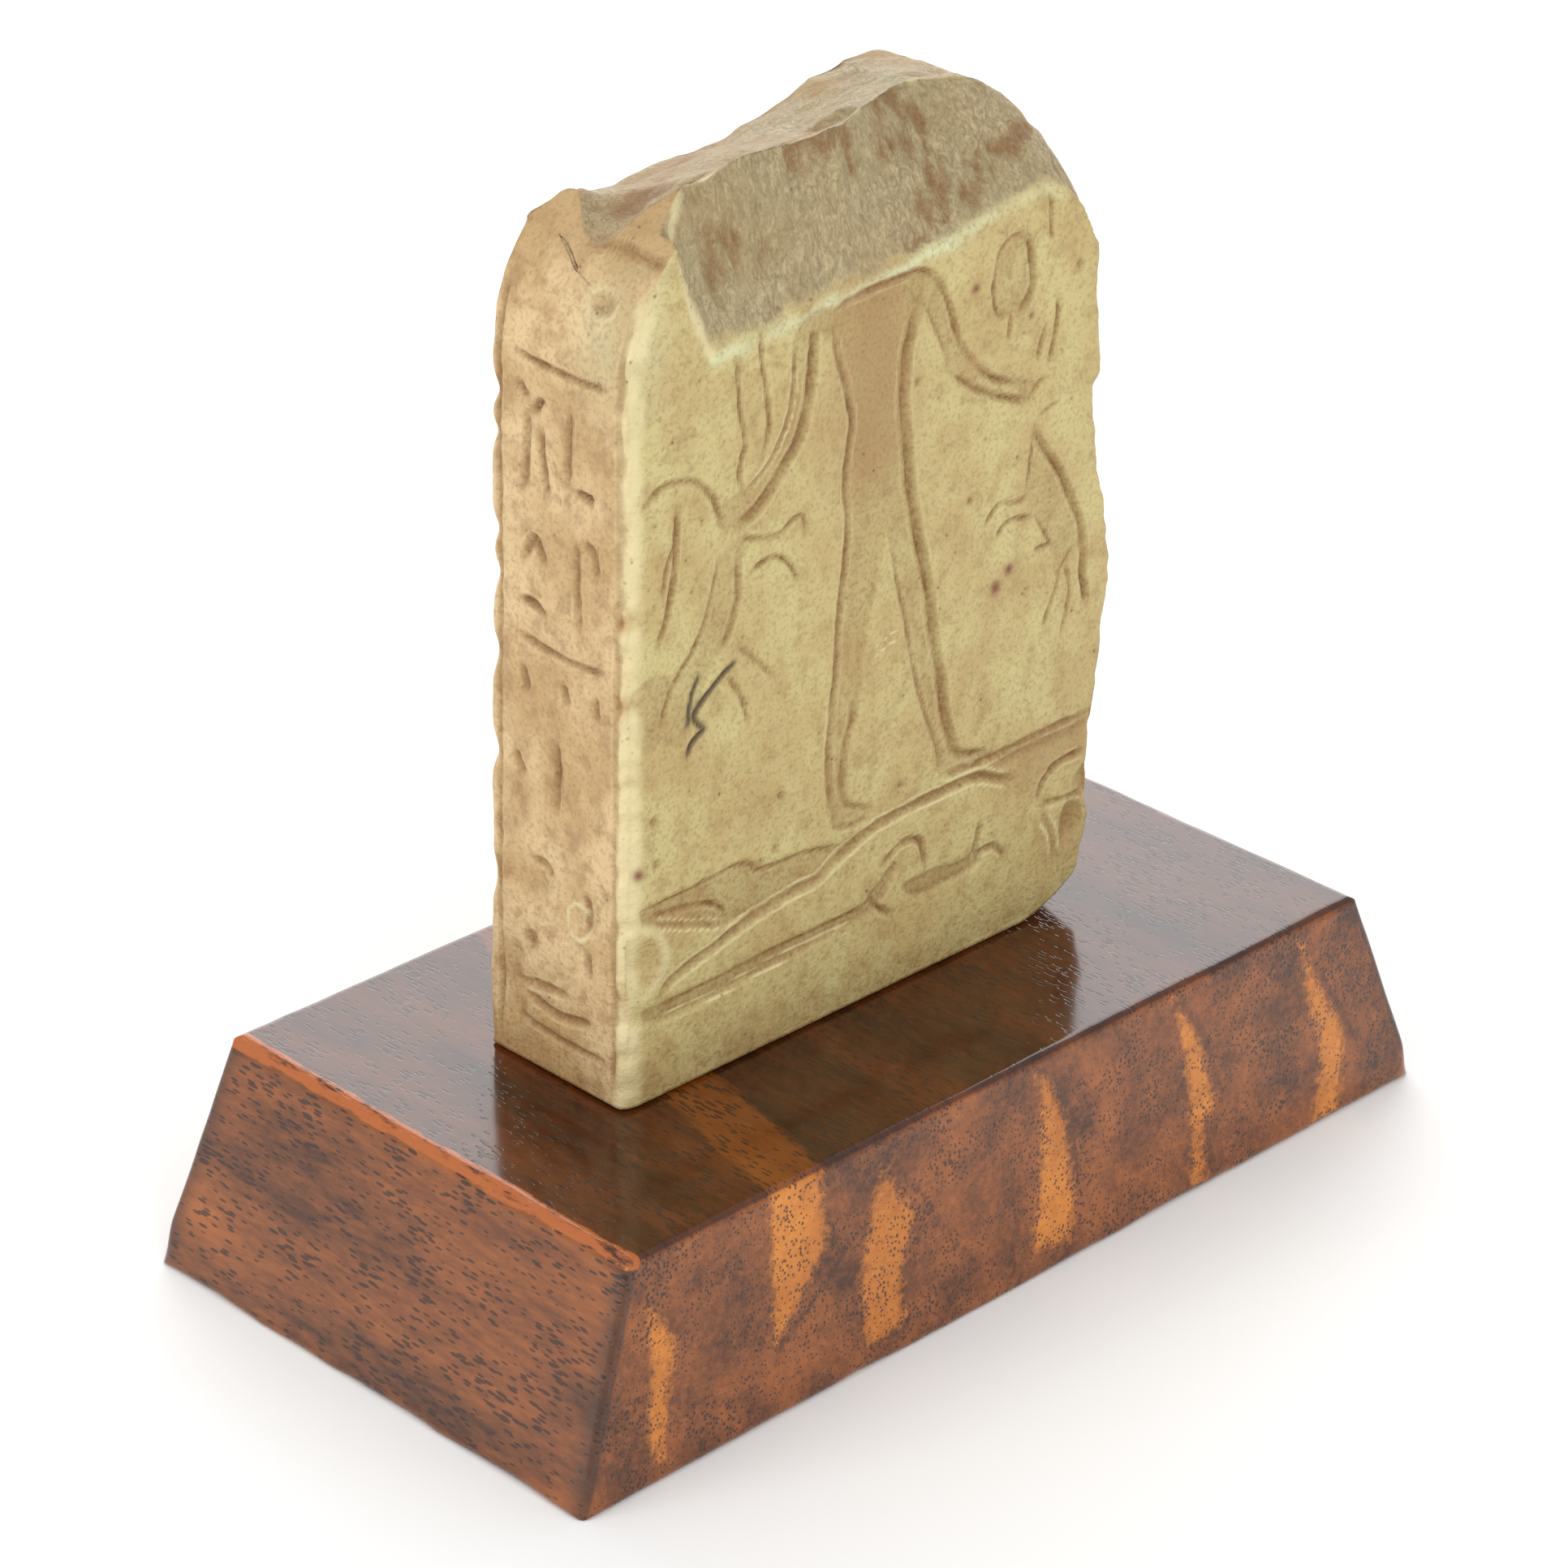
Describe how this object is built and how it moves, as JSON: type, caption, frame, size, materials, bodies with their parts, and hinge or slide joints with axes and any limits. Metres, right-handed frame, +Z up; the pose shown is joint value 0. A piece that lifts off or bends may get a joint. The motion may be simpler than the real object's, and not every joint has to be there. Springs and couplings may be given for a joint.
{
  "type": "carved stone stele on a wooden base",
  "caption": "Small carved stone stele with rounded shoulders and a broken top, sunk relief on its face and strokes on its edges, standing on a bevelled wooden base.",
  "frame": {"origin": "on the surface that the base stands on, under the middle of the base", "axes": "+Z up, X along the length of the base and across the carved face, the carved figures look towards -Y"},
  "size_m": [0.1166, 0.0608, 0.1116],
  "materials": {
    "steatite": "carved, worn and waxy, brown dirt in the grooves",
    "lacquered_wood": "dark stained, clear gloss lacquer"
  },
  "bodies": {
    "root": {"stele": "steatite", "base": "lacquered_wood"}
  },
  "joints": []
}
